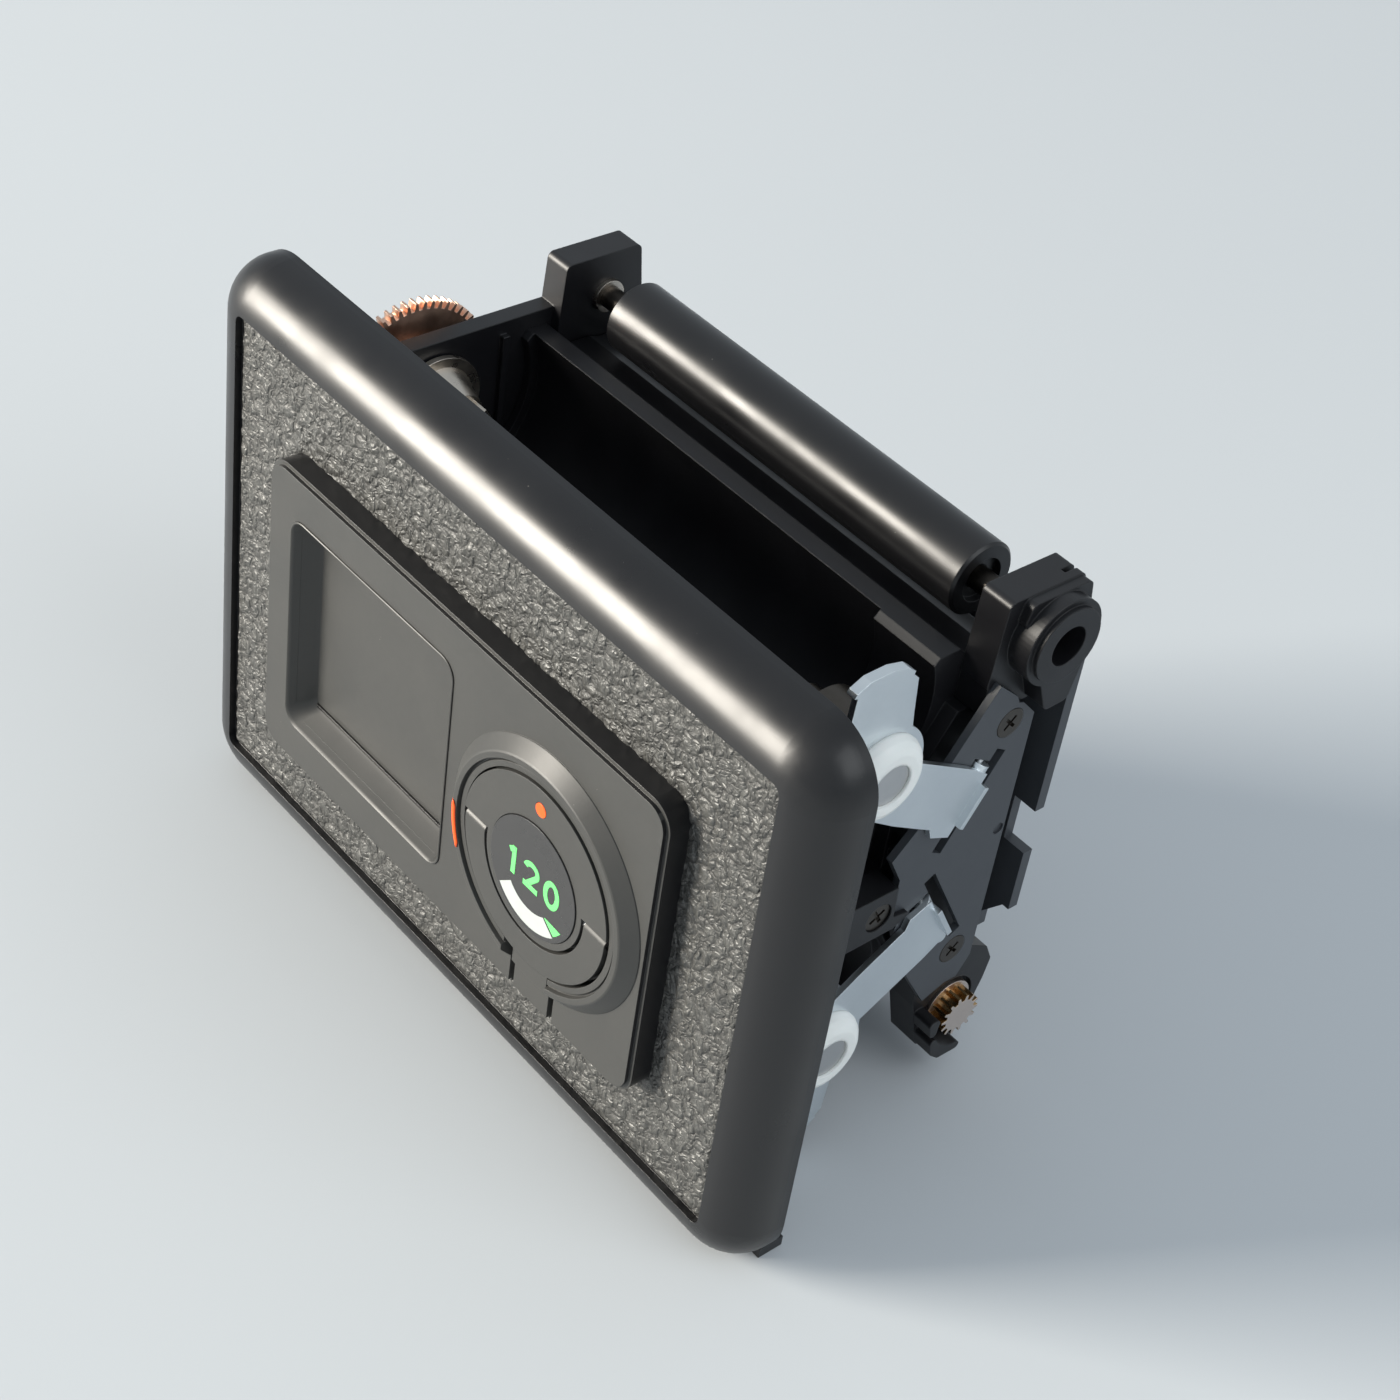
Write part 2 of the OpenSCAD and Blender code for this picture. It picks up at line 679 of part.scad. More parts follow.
module take_up_gear() {
  color(copper) placed() {
    slab_x(-44.4, -42.9) translate([spool_y, spool_z])
        gear_outline(gear_teeth, gear_r, 1);
    bar_x(6, -42.9, -41.3, spool_y, spool_z);
    bar_x(9.8, -45, -44.4, spool_y, spool_z);
  }
}

// Driving end of a spool: collar, neck and a flat blade.
module spool_key(s) color(nickel) placed() {
  bar_x(2.5, -41.3, -38.2, spool_y, s * spool_z);
  bar_x(6.3, -38.2, -37.4, spool_y, s * spool_z);
  translate([-37.4, spool_y, s * spool_z]) rotate([0, 90, 0])
    cylinder(h = 4.4, r1 = 5, r2 = 3.6);
  translate([-33, spool_y, s * spool_z]) rotate([35, 0, 0])
    translate([0, -3.1, -0.75]) cube([2.4, 6.2, 1.5]);
}

module take_up_key() spool_key(1);
module supply_key() spool_key(-1);

module supply_disc() {
  color(nickel) placed() bar_x(7.5, -42.6, -41.3, spool_y, -spool_z);
}

module pressure_plate() {
  color(black_plate) placed() {
    slab_y(plate_y0, film_y) difference() {
      square([2 * plate_x, 2 * plate_z], center = true);
      for (m = [0, 1]) mirror([m, 0]) {
        translate([plate_x - 3.4, -7]) square([6, 6.8]);
        polygon([[plate_x - 1, -16.4], [plate_x + 5, -16.4], [plate_x + 5, -30],
          [plate_x - 4, -30], [plate_x - 4, -20]]);
      }
    }
    for (sx = [-1, 1], sz = [-1, 1])
      bar_y(1.2, 45.6, plate_y0, sx * 26, sz * 17);
  }
}

// Bowed leaf riveted to the back of the pressure plate.
module leaf(x0) color(steel) placed() slab_x(x0, x0 + 6) {
  intersection() {
    translate([plate_y0 - 25.2, 0]) difference() {
      circle(25.1);
      circle(24.8);
    }
    translate([46.9, -17]) square([8, 34]);
  }
  translate([plate_y0 - 0.3, -2]) square([0.3, 4]);
}

module pressure_spring_left() leaf(-36);
module pressure_spring_right() leaf(30);

cover_shell();
leather_panel();
memo_plate();
memo_floor();
index_mark();
key_disc();
key_label();
index_dot();
key_shaft();
ring_pin_left();
ring_pin_right();
half_ring();
bolt_right();
bolt_left();
inner_plate();
cover_screw_a();
cover_screw_b();
cover_screw_c();
cover_screw_d();
catch_lug();
left_cheek();
upper_column();
lower_column();
core_block();
bridge_bar();
bridge_screw();
side_plate();
side_screw_upper();
side_screw_lower();
hinge_pin_upper();
hinge_pin_lower();
lever_upper();
lever_lower();
boss_upper();
boss_lower();
rivet_upper();
rivet_lower();
roller_upper();
roller_lower();
shaft_upper();
shaft_lower();
bush_upper_left();
bush_lower_left();
bush_lower_right();
counter_pinion();
take_up_gear();
take_up_key();
supply_disc();
supply_key();
pressure_plate();
pressure_spring_left();
pressure_spring_right();
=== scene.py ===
"""Looks of the roll-film insert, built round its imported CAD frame."""

import json
import math

import bpy
from mathutils import Matrix, Vector, noise


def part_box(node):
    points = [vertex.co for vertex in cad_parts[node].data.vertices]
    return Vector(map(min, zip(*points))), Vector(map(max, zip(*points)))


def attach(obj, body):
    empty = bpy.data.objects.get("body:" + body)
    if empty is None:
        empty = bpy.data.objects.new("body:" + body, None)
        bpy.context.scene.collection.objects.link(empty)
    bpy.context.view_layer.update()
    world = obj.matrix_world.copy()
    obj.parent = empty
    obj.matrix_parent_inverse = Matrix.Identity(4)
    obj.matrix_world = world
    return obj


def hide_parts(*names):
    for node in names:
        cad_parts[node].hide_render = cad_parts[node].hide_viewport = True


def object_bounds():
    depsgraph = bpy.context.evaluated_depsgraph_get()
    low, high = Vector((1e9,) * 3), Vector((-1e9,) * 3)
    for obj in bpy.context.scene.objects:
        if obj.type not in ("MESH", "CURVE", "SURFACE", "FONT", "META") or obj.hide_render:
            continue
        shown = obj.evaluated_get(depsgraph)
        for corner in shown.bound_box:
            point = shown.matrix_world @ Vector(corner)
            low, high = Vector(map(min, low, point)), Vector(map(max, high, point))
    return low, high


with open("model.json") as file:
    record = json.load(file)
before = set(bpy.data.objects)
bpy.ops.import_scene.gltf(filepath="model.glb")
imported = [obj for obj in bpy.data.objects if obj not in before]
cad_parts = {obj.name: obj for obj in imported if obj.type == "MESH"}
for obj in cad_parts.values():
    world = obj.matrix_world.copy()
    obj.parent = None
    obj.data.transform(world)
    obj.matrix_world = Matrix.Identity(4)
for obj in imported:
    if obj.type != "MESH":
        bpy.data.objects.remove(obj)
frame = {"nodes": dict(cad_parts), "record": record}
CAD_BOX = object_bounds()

MM = 0.001

# ---------------------------------------------------------------- places
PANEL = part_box("leather_panel")
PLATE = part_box("memo_plate")
FLOOR_OF_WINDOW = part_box("memo_floor")
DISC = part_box("key_disc")
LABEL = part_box("key_label")
KEY_X = (DISC[0].x + DISC[1].x) / 2
KEY_Z = (DISC[0].z + DISC[1].z) / 2
LABEL_Y = LABEL[0].y
# The memo plate's flat face; its key ring stands 1.7 mm prouder.
PLATE_Y = PLATE[0].y + 1.7 * MM
# The leather's face, 3 mm below the plate's.
LEATHER_Y = PLATE_Y + 3 * MM
STAND_Z = CAD_BOX[0].z
# Thickness of the print on the key's label.
PRINT_T = 0.03 * MM
# Inner and outer radius of the pale arc and the pointer beside it.
PRINT_IN = 4.6 * MM
PRINT_OUT = 7.1 * MM
POINTER_OUT = 6.9 * MM


# ---------------------------------------------------------------- meshes
def mesh_object(name, verts, faces, smooth_angle=30):
    mesh = bpy.data.meshes.new(name)
    mesh.from_pydata([tuple(v) for v in verts], [], faces)
    mesh.update()
    obj = bpy.data.objects.new(name, mesh)
    bpy.context.scene.collection.objects.link(obj)
    mesh.polygons.foreach_set("use_smooth", [True] * len(mesh.polygons))
    mesh.set_sharp_from_angle(angle=math.radians(smooth_angle))
    return obj


def prism(name, outline, y_back, y_front):
    """A flat piece from an outline in x and z, between two depths."""
    n = len(outline)
    verts = [(x, y_back, z) for x, z in outline] + [(x, y_front, z) for x, z in outline]
    faces = [tuple(range(n)), tuple(reversed(range(n, 2 * n)))]
    faces += [(i, i + n, (i + 1) % n + n, (i + 1) % n) for i in range(n)]
    return mesh_object(name, verts, faces)


def arc(radius, start, end, steps, cx=0.0, cz=0.0):
    """Points on an arc in x and z, angles in degrees."""
    turn = [math.radians(start + (end - start) * i / steps) for i in range(steps + 1)]
    return [(cx + radius * math.cos(t), cz + radius * math.sin(t)) for t in turn]


def rounded_loop(width, height, radius, steps=8):
    """A rounded rectangle's outline round the origin, counter-clockwise."""
    points = []
    for i, (sx, sz) in enumerate(((1, 1), (-1, 1), (-1, -1), (1, -1))):
        centre = (sx * (width / 2 - radius), sz * (height / 2 - radius))
        points += arc(radius, 90 * i, 90 * i + 90, steps, *centre)
    return points


def band_of_loops(name, loops):
    """Joins loops of equal length with quads."""
    n = len(loops[0])
    verts = [p for loop in loops for p in loop]
    faces = []
    for a in range(0, n * (len(loops) - 1), n):
        b = a + n
        faces += [(a + i, a + (i + 1) % n, b + (i + 1) % n, b + i) for i in range(n)]
    return mesh_object(name, verts, faces)


# ---------------------------------------------------------------- materials
class Nodes:
    """A small helper for one material's node tree."""

    def __init__(self, name):
        self.material = bpy.data.materials.new(name)
        self.material.use_nodes = True
        self.tree = self.material.node_tree
        self.shader = self.tree.nodes["Principled BSDF"]
        coords = self.tree.nodes.new("ShaderNodeTexCoord")
        self.place = coords.outputs["Object"]

    def link(self, source, target):
        self.tree.links.new(source, target)

    def noise(self, size_mm, detail=4.0, rough=0.55, warp=0.0):
        node = self.tree.nodes.new("ShaderNodeTexNoise")
        node.inputs["Scale"].default_value = 1 / (size_mm * MM)
        node.inputs["Detail"].default_value = detail
        node.inputs["Roughness"].default_value = rough
        node.inputs["Distortion"].default_value = warp
        self.link(self.place, node.inputs["Vector"])
        return node.outputs["Fac"]

    def voronoi(self, size_mm, feature="F1", vector=None):
        node = self.tree.nodes.new("ShaderNodeTexVoronoi")
        node.feature = feature
        node.inputs["Scale"].default_value = 1 / (size_mm * MM)
        self.link(vector or self.place, node.inputs["Vector"])
        return node.outputs["Distance"]

    def ranged(self, value, from_low, from_high, to_low, to_high):
        node = self.tree.nodes.new("ShaderNodeMapRange")
        for name, number in zip(
            ("From Min", "From Max", "To Min", "To Max"),
            (from_low, from_high, to_low, to_high),
        ):
            node.inputs[name].default_value = number
        self.link(value, node.inputs["Value"])
        return node.outputs["Result"]

    def math(self, kind, a, b):
        node = self.tree.nodes.new("ShaderNodeMath")
        node.operation = kind
        for socket, value in zip(node.inputs, (a, b)):
            if isinstance(value, (int, float)):
                socket.default_value = value
            else:
                self.link(value, socket)
        return node.outputs[0]

    def blend(self, factor, low, high):
        node = self.tree.nodes.new("ShaderNodeMix")
        node.data_type = "RGBA"
        self.link(factor, node.inputs[0])
        for socket, value in ((node.inputs[6], low), (node.inputs[7], high)):
            if isinstance(value, tuple):
                socket.default_value = (*value, 1.0)
            else:
                self.link(value, socket)
        return node.outputs[2]

    def bump(self, height, depth_mm, strength=1.0, under=None):
        node = self.tree.nodes.new("ShaderNodeBump")
        node.inputs["Distance"].default_value = depth_mm * MM
        node.inputs["Strength"].default_value = strength
        self.link(height, node.inputs["Height"])
        if under is not None:
            self.link(under, node.inputs["Normal"])
        return node.outputs["Normal"]

    def rounded(self, radius_mm):
        node = self.tree.nodes.new("ShaderNodeBevel")
        node.samples = 6
        node.inputs["Radius"].default_value = radius_mm * MM
        return node.outputs["Normal"]


def scaled(colour, factor):
    return tuple(min(1.0, c * factor) for c in colour)


def surface(
    name,
    colour,
    roughness,
    metallic=0.0,
    grain_mm=0.12,
    grain_depth=0.004,
    patch_mm=9.0,
    patch=0.12,
    sheen_change=0.06,
    edge_mm=0.12,
    specks=0.0,
    specular=0.5,
    stretch=None,
):
    """A plain finish with patches, grain, uneven gloss, soft edges and, if asked, dust."""
    n = Nodes(name)
    n.shader.inputs["Metallic"].default_value = metallic
    n.shader.inputs["Specular IOR Level"].default_value = specular
    patches = n.noise(patch_mm, 3.0)
    fine = n.noise(grain_mm * 6, 6.0, 0.65)
    tone = n.blend(patches, scaled(colour, 1 - patch), scaled(colour, 1 + patch))
    tone = n.blend(n.ranged(fine, 0.35, 0.7, 0.0, 0.5), tone, scaled(colour, 1 + patch))
    gloss = n.ranged(patches, 0.3, 0.7, roughness - sheen_change, roughness + sheen_change)
    if specks:
        dots = n.voronoi(2.2)
        dust = n.ranged(dots, specks, specks * 0.6, 0.0, 1.0)
        keep = n.ranged(n.noise(3.1, 1.0), 0.56, 0.6, 0.0, 0.7)
        dust = n.math("MULTIPLY", dust, keep)
        tone = n.blend(dust, tone, (0.35, 0.34, 0.31))
        gloss = n.math("ADD", gloss, n.math("MULTIPLY", dust, 0.3))
    n.link(tone, n.shader.inputs["Base Color"])
    n.link(gloss, n.shader.inputs["Roughness"])
    soft = n.rounded(edge_mm)
    n.link(n.bump(n.noise(grain_mm, 2.0), grain_depth, 0.6, soft), n.shader.inputs["Normal"])
    return n.material


def leather():
    n = Nodes("leatherette")
    n.shader.inputs["Specular IOR Level"].default_value = 0.7
    warp = n.tree.nodes.new("ShaderNodeTexNoise")
    warp.inputs["Scale"].default_value = 1 / (3.0 * MM)
    warp.inputs["Detail"].default_value = 3.0
    n.link(n.place, warp.inputs["Vector"])
    shifted = n.tree.nodes.new("ShaderNodeVectorMath")
    shifted.operation = "MULTIPLY_ADD"
    n.link(warp.outputs["Color"], shifted.inputs[0])
    shifted.inputs[1].default_value = (3.0 * MM, 3.0 * MM, 3.0 * MM)
    n.link(n.place, shifted.inputs[2])
    folds = n.ranged(n.voronoi(2.1, "DISTANCE_TO_EDGE", shifted.outputs[0]), 0.0, 0.24, 0.0, 1.0)
    small = n.ranged(n.voronoi(0.8, "DISTANCE_TO_EDGE", shifted.outputs[0]), 0.0, 0.3, 0.0, 1.0)
    mixed = n.math("ADD", n.math("MULTIPLY", folds, 0.65), n.math("MULTIPLY", small, 0.35))
    height = n.math("ADD", mixed, n.math("MULTIPLY", n.noise(0.45, 5.0), 0.35))
    # Painted shade: the colour darkens in the creases between the pebbles, where the distance to a cell
    # edge is small.
    tone = n.blend(mixed, (0.014, 0.014, 0.013), (0.085, 0.085, 0.08))
    tone = n.blend(n.ranged(n.noise(14.0, 2.0), 0.4, 0.7, 0.0, 0.35), tone, (0.05, 0.049, 0.045))
    n.link(tone, n.shader.inputs["Base Color"])
    n.link(n.ranged(mixed, 0.0, 1.0, 0.6, 0.36), n.shader.inputs["Roughness"])
    n.link(n.bump(height, 0.3, 1.0), n.shader.inputs["Normal"])
    return n.material


def nylon():
    n = Nodes("white_nylon")
    n.shader.inputs["Subsurface Weight"].default_value = 0.35
    n.shader.inputs["Subsurface Radius"].default_value = (0.9, 1.0, 1.0)
    n.shader.inputs["Subsurface Scale"].default_value = 0.0012
    patches = n.noise(4.0, 3.0)
    n.link(n.blend(patches, (0.84, 0.87, 0.84), (0.93, 0.95, 0.93)), n.shader.inputs["Base Color"])
    n.link(n.ranged(patches, 0.3, 0.7, 0.34, 0.46), n.shader.inputs["Roughness"])
    n.link(n.bump(n.noise(0.3, 3.0), 0.006, 0.5, n.rounded(0.5)), n.shader.inputs["Normal"])
    return n.material


MATERIALS = {
    "satin_black": surface(
        "satin_black", (0.007, 0.007, 0.008), 0.33, grain_mm=0.1, grain_depth=0.003, specks=0.035,
        specular=0.5,
    ),
    "moulded_black": surface(
        "moulded_black", (0.006, 0.006, 0.0075), 0.42, grain_mm=0.16, grain_depth=0.006, edge_mm=0.25
    ),
    "grey_plate": surface(
        "grey_plate", (0.05, 0.055, 0.063), 0.4, grain_mm=0.09, grain_depth=0.002, edge_mm=0.08
    ),
    "leatherette": leather(),
    "zinc_sheet": surface(
        "zinc_sheet", (0.77, 0.82, 0.85), 0.34, 1.0, grain_mm=0.2, grain_depth=0.002, patch=0.03
    ),
    "steel_pin": surface("steel_pin", (0.6, 0.6, 0.6), 0.3, 1.0, patch=0.06),
    "dull_nickel": surface("dull_nickel", (0.62, 0.56, 0.49), 0.3, 1.0, patch=0.15, patch_mm=2.0),
    "copper_gear": surface("copper_gear", (0.85, 0.56, 0.42), 0.36, 1.0, patch=0.15, patch_mm=3.0),
    "white_nylon": nylon(),
    "signal_red": surface("signal_red", (0.93, 0.1, 0.008), 0.4, patch=0.08, patch_mm=2.0),
    "label_black": surface("label_black", (0.03, 0.03, 0.031), 0.3, patch_mm=4.0),
}
EXTRA = {
    "memo_black": surface(
        "memo_black", (0.04, 0.04, 0.038), 0.46, grain_mm=0.14, grain_depth=0.008, specks=0.03
    ),
    # Painted shade: a darker copy of the memo plate's black, used only on the skirt's right and upper
    # sides.
    "painted_shade_skirt": surface(
        "painted_shade_skirt", (0.01, 0.01, 0.011), 0.34, grain_depth=0.003, specular=0.4
    ),
    "green_print": surface("green_print", (0.13, 0.62, 0.17), 0.45, patch=0.1, patch_mm=1.5),
    "white_print": surface("white_print", (0.4, 0.43, 0.42), 0.45, patch=0.06, patch_mm=2.0),
    "gold_flutes": surface("gold_flutes", (0.5, 0.33, 0.16), 0.22, 1.0, patch=0.2, patch_mm=1.5),
    "dark_steel": surface("dark_steel", (0.09, 0.08, 0.07), 0.34, 1.0, patch=0.2, patch_mm=2.0),
    "rose_nickel": surface("rose_nickel", (0.72, 0.62, 0.56), 0.34, 1.0, patch=0.06),
}


def paint(obj, material):
    obj.data.materials.clear()
    obj.data.materials.append(material)
    return obj


def paint_part(node, material, second, chosen):
    """Two finishes on one CAD node, the second where chosen says so."""
    mesh = paint(frame["nodes"][node], material).data
    mesh.materials.append(second)
    low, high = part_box(node)
    for face in mesh.polygons:
        face.material_index = int(chosen(face, low, high))


def end_of_pinion(face, low, high):
    return face.center.x > high.x - 0.05 * MM or face.center.x < low.x + 0.9 * MM


def inside_of_boss(face, low, high):
    return face.center.x < high.x - 3.4 * MM


# Outer faces of the plate's skirt on its right and upper sides, which get the painted shade.
def on_painted_shade_skirt(face, low, high):
    outer = face.center.x > high.x - 1.3 * MM or face.center.z > high.z - 1.0 * MM
    return outer and abs(face.normal.y) < 0.6


def dress_cad():
    for entry in frame["record"]["subparts"]:
        paint(frame["nodes"][entry["node"]], MATERIALS[entry["material_slot"]])
    for node in ("memo_plate", "key_disc", "half_ring", "memo_floor"):
        paint(frame["nodes"][node], EXTRA["memo_black"])
    for node in ("side_screw_upper", "side_screw_lower", "bridge_screw", "shaft_upper"):
        paint(frame["nodes"][node], EXTRA["dark_steel"])
    # The skirt's right and upper sides get the painted shade.
    paint_part("memo_plate", EXTRA["memo_black"], EXTRA["painted_shade_skirt"], on_painted_shade_skirt)
    paint_part("counter_pinion", EXTRA["gold_flutes"], EXTRA["rose_nickel"], end_of_pinion)
    for node in ("boss_upper", "boss_lower"):
        paint_part(node, MATERIALS["white_nylon"], EXTRA["dark_steel"], inside_of_boss)


def add(obj, body, slot, material=None, *replaced):
    """Gives a made piece its finish, from its slot unless one is given, and its body."""
    paint(obj, material or MATERIALS[slot])
    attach(obj, body)
    if replaced:
        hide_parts(*replaced)
    return obj


# ---------------------------------------------------------------- pieces
def leather_skin():
    """The leatherette: a fine net that rises and falls, open under the memo plate."""
    noise.seed_set(7)
    step = 0.3 * MM
    low, high = PANEL
    columns = round((high.x - low.x) / step)
    rows = round((high.z - low.z) / step)
    face_y, root_y = low.y, high.y
    hole = 1.2 * MM
    index, verts, faces = {}, [], []

    def point(i, k):
        if (i, k) not in index:
            x = low.x + (high.x - low.x) * i / columns
            z = low.z + (high.z - low.z) * k / rows
            edge = min(x - low.x, high.x - x, z - low.z, high.z - z)
            here = Vector((x, 0.0, z)) / MM
            bent = here * 0.46 + noise.noise_vector(here * 0.3) * 0.8
            near, next_near = noise.voronoi(bent)[0][:2]
            pebble = min(1.0, (next_near - near) * 1.7)
            height = 0.3 * math.sqrt(pebble) + 0.09 * noise.noise(here * 1.1)
            y = face_y + (0.4 - height) * MM
            if edge < 0.5 * MM:
                y = y + (root_y - y) * (1 - max(0.0, edge) / (0.5 * MM))
            index[i, k] = len(verts)
            verts.append((x, min(max(y, face_y), root_y), z))
        return index[i, k]

    for i in range(columns):
        for k in range(rows):
            x = low.x + (i + 0.5) * step
            z = low.z + (k + 0.5) * step
            inside_x = PLATE[0].x + hole < x < PLATE[1].x - hole
            inside_z = PLATE[0].z + hole < z < PLATE[1].z - hole
            if not (inside_x and inside_z):
                faces.append((point(i, k), point(i + 1, k), point(i + 1, k + 1), point(i, k + 1)))
    skin = mesh_object("leather_skin", verts, faces, 80)
    add(skin, "back", "leatherette", None, "leather_panel")


def window_bevel():
    """Sides of the memo window; the left and lower ones slope down to the floor."""
    low, high = FLOOR_OF_WINDOW
    cx, cz = (low.x + high.x) / 2, (low.z + high.z) / 2
    width, height = high.x - low.x + 0.2 * MM, high.z - low.z + 0.2 * MM
    # Growth of the outline, depth and how far the sloping walls come in.
    steps = (
        (1.75, PLATE_Y - 0.12 * MM, 0.0),
        (1.5, PLATE_Y - 0.2 * MM, 0.0),
        (1.2, PLATE_Y - 0.12 * MM, 0.0),
        (1.0, PLATE_Y + 0.2 * MM, 0.1),
        (0.1, low.y - 0.6 * MM, 0.9),
        (-0.1, low.y + 0.02 * MM, 1.3),
    )
    loops = []
    for grow, y, inset in steps:
        wide = width + (grow - inset) * MM
        high_side = height + (grow - inset) * MM
        shift = inset / 2 * MM
        ring = rounded_loop(wide, high_side, (1.6 + grow / 2) * MM)
        loops.append([(cx + shift + x, y, cz + shift + z) for x, z in ring])
    add(band_of_loops("window_bevel", loops), "back", "satin_black", EXTRA["memo_black"])
    lip = prism(
        "card_lip",
        [
            (cx - width / 2 + 1.6 * MM, cz - height / 2 + 1.5 * MM),
            (cx + width / 2 - 1.0 * MM, cz - height / 2 + 1.5 * MM),
            (cx + width / 2 - 1.0 * MM, cz - height / 2 + 1.9 * MM),
            (cx - width / 2 + 1.6 * MM, cz - height / 2 + 1.9 * MM),
        ],
        low.y - 0.3 * MM,
        low.y + 0.05 * MM,
    )
    add(lip, "back", "satin_black")


def stroke(name, points, width, thick):
    """A printed line of even width through points in x and z."""
    front, back = LABEL_Y - thick, LABEL_Y
    verts = []
    for i, (x, z) in enumerate(points):
        before = Vector(points[max(i - 1, 0)])
        after = Vector(points[min(i + 1, len(points) - 1)])
        along = (after - before).normalized() * width / 2
        left = (x - along.y, z + along.x)
        right = (x + along.y, z - along.x)
        verts += [(left[0], front, left[1]), (right[0], front, right[1]),
                  (right[0], back, right[1]), (left[0], back, left[1])]
    faces = []
    for i in range(len(points) - 1):
        a = 4 * i
        faces += [(a + k, a + (k + 1) % 4, a + 4 + (k + 1) % 4, a + 4 + k) for k in range(4)]
    last = 4 * (len(points) - 1)
    faces += [(0, 1, 2, 3), (last + 3, last + 2, last + 1, last)]
    return mesh_object(name, verts, faces)


def numeral_stroke(name, points, thick=PRINT_T):
    """One green stroke of the film width number, in millimetres from the key's centre."""
    line = [(KEY_X + x * MM, KEY_Z + z * MM) for x, z in points]
    add(stroke(name, line, 0.76 * MM, thick), "key", "label_black", EXTRA["green_print"])


def oval(cx, cz, rx, rz, start, end, step=10):
    """Points on an upright oval in millimetres, angles in degrees."""
    count = round(abs(end - start) / step)
    turns = [math.radians(start + (end - start) * k / count) for k in range(count + 1)]
    return [(cx + rx * math.cos(t), cz + rz * math.sin(t)) for t in turns]


def printed_marks():
    """Generic print on the key: film width number, a pale arc and a green pointer."""
    low, top = -1.7, 2.3
    middle = (low + top) / 2
    numeral_stroke("one_stem", [(-3.4, low), (-3.4, top)])
    numeral_stroke("one_flag", [(-4.2, top - 0.85), (-3.3, top - 0.3)], PRINT_T * 1.5)
    numeral_stroke("two_curl", oval(-0.2, top - 1.25, 1.1, 0.9, 170, -40) + [(-1.05, low + 0.2)])
    numeral_stroke("two_base", [(-1.5, low + 0.37), (1.15, low + 0.37)], PRINT_T * 1.5)
    numeral_stroke("zero", oval(3.5, middle, 1.05, 1.65, 0, 360))
    band = arc(PRINT_IN, -140, -56, 20, KEY_X, KEY_Z) + arc(PRINT_OUT, -50, -140, 20, KEY_X, KEY_Z)
    pale = prism("pale_arc", band, LABEL_Y - PRINT_T, LABEL_Y)
    add(pale, "key", "label_black", EXTRA["white_print"])
    pointer = arc(PRINT_IN, -53, -51, 2, KEY_X, KEY_Z) + arc(POINTER_OUT, -33, -48, 3, KEY_X, KEY_Z)
    flag = prism("green_pointer", pointer, LABEL_Y - PRINT_T, LABEL_Y)
    add(flag, "key", "label_black", EXTRA["green_print"])


def index_paint():
    """Red paint on the sloping flank of the key's ring, with rounded ends."""
    flank = ((14.5, -4.74), (15.1, -4.74), (15.3, -4.64), (15.8, -4.18), (16.2, -3.8))
    rows = 18
    loops = []
    for i in range(rows + 1):
        turn = math.radians(178.6 + 25.0 * i / rows)
        near_end = min(i, rows - i) / 2.0
        squeeze = min(1.0, 0.45 + 0.55 * near_end)
        loop = []
        for r, y in flank:
            radius = (15.1 + (r - 15.1) * squeeze) * MM
            depth = (y if squeeze == 1.0 else y - 0.02) * MM
            x = KEY_X + radius * math.cos(turn)
            z = KEY_Z + radius * math.sin(turn)
            loop.append((x, LEATHER_Y + depth - 0.05 * MM, z))
        loops.append(loop)
    verts = [p for loop in loops for p in loop]
    faces = []
    for i in range(rows):
        for k in range(len(flank) - 1):
            a = i * len(flank) + k
            faces.append((a, a + 1, a + 1 + len(flank), a + len(flank)))
    paint_strip = mesh_object("index_paint", verts, faces)
    thick = paint_strip.modifiers.new("thickness", "SOLIDIFY")
    thick.thickness = 0.06 * MM
    add(paint_strip, "back", "signal_red", None, "index_mark")


# ---------------------------------------------------------------- stage
def stage():
    n = Nodes("paper_floor")
    wide = n.noise(400.0, 2.0)
    n.link(n.blend(wide, (0.55, 0.58, 0.605), (0.58, 0.61, 0.635)), n.shader.inputs["Base Color"])
    n.link(n.ranged(n.noise(60.0, 3.0), 0.3, 0.7, 0.6, 0.7), n.shader.inputs["Roughness"])
    n.link(n.bump(n.noise(2.0, 3.0), 0.02, 0.2), n.shader.inputs["Normal"])
    n.shader.inputs["Specular IOR Level"].default_value = 0.2
    size = 4.0
    floor = mesh_object(
        "floor",
        [(-size, -size, STAND_Z), (size, -size, STAND_Z), (size, size, STAND_Z), (-size, size, STAND_Z)],
        [(0, 1, 2, 3)],
    )
    paint(floor, n.material)


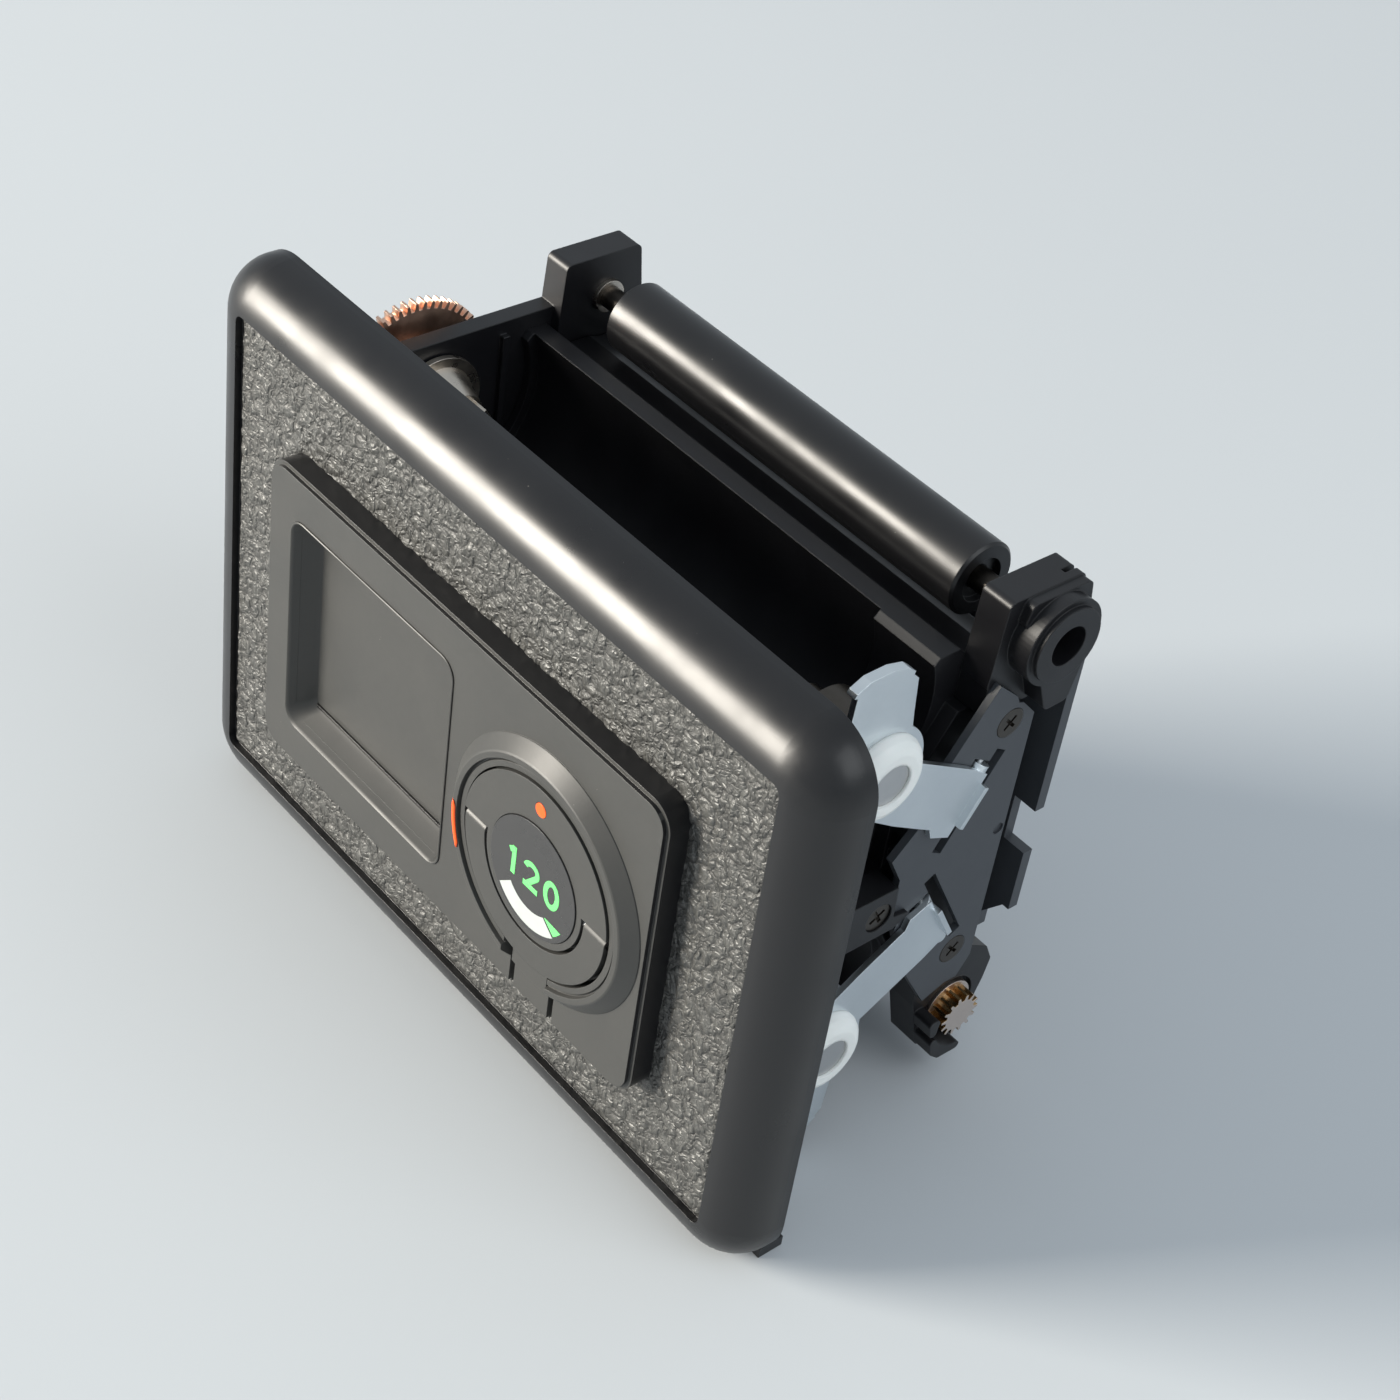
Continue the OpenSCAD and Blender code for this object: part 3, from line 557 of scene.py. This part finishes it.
def softbox(name, place, target, size, power, colour=(1, 1, 1)):
    light = bpy.data.lights.new(name, "AREA")
    light.shape = "RECTANGLE"
    light.size, light.size_y = size
    light.energy = power
    light.color = colour
    obj = bpy.data.objects.new(name, light)
    obj.location = place
    obj.rotation_mode = "QUATERNION"
    obj.rotation_quaternion = (Vector(target) - Vector(place)).to_track_quat("-Z", "Y")
    bpy.context.scene.collection.objects.link(obj)


def lights():
    world = bpy.data.worlds.new("room")
    bpy.context.scene.world = world
    world.use_nodes = True
    room = world.node_tree.nodes["Background"]
    room.inputs["Color"].default_value = (0.84, 0.925, 1.0, 1.0)
    room.inputs["Strength"].default_value = 0.58
    middle = Vector((0.0, -0.03, 0.0))
    side = Vector((-0.6, -0.77, 0.21)).normalized()
    softbox("key_light", middle + side * 2.4, middle, (0.9, 1.4), 165.0, (1.0, 0.94, 0.84))
    fill = Vector((0.75, 0.2, 0.63)).normalized()
    softbox("fill_light", middle + fill * 1.3, middle, (0.9, 0.9), 4.5, (0.95, 0.98, 1.0))


def camera():
    data = bpy.data.cameras.new("camera")
    data.lens = 68.39
    data.sensor_width = 36.0
    data.clip_start, data.clip_end = 0.01, 20.0
    data.dof.use_dof = False
    heading, pitch, roll = (math.radians(a) for a in (44.4, -39.3, 9.2))
    forward = Vector((-math.sin(heading) * math.cos(pitch), math.cos(heading) * math.cos(pitch),
                      math.sin(pitch)))
    level = Vector((forward.y, -forward.x, 0.0)).normalized()
    upright = level.cross(forward)
    right = level * math.cos(roll) + upright * math.sin(roll)
    up = upright * math.cos(roll) - level * math.sin(roll)
    matrix = Matrix((right, up, -forward)).transposed().to_4x4()
    matrix.translation = Vector((0.18, -0.2014, 0.2044))
    obj = bpy.data.objects.new("camera", data)
    obj.matrix_world = matrix
    bpy.context.scene.collection.objects.link(obj)
    bpy.context.scene.camera = obj


bpy.context.scene.view_settings.view_transform = "Standard"
dress_cad()
leather_skin()
window_bevel()
printed_marks()
index_paint()
stage()
lights()
camera()
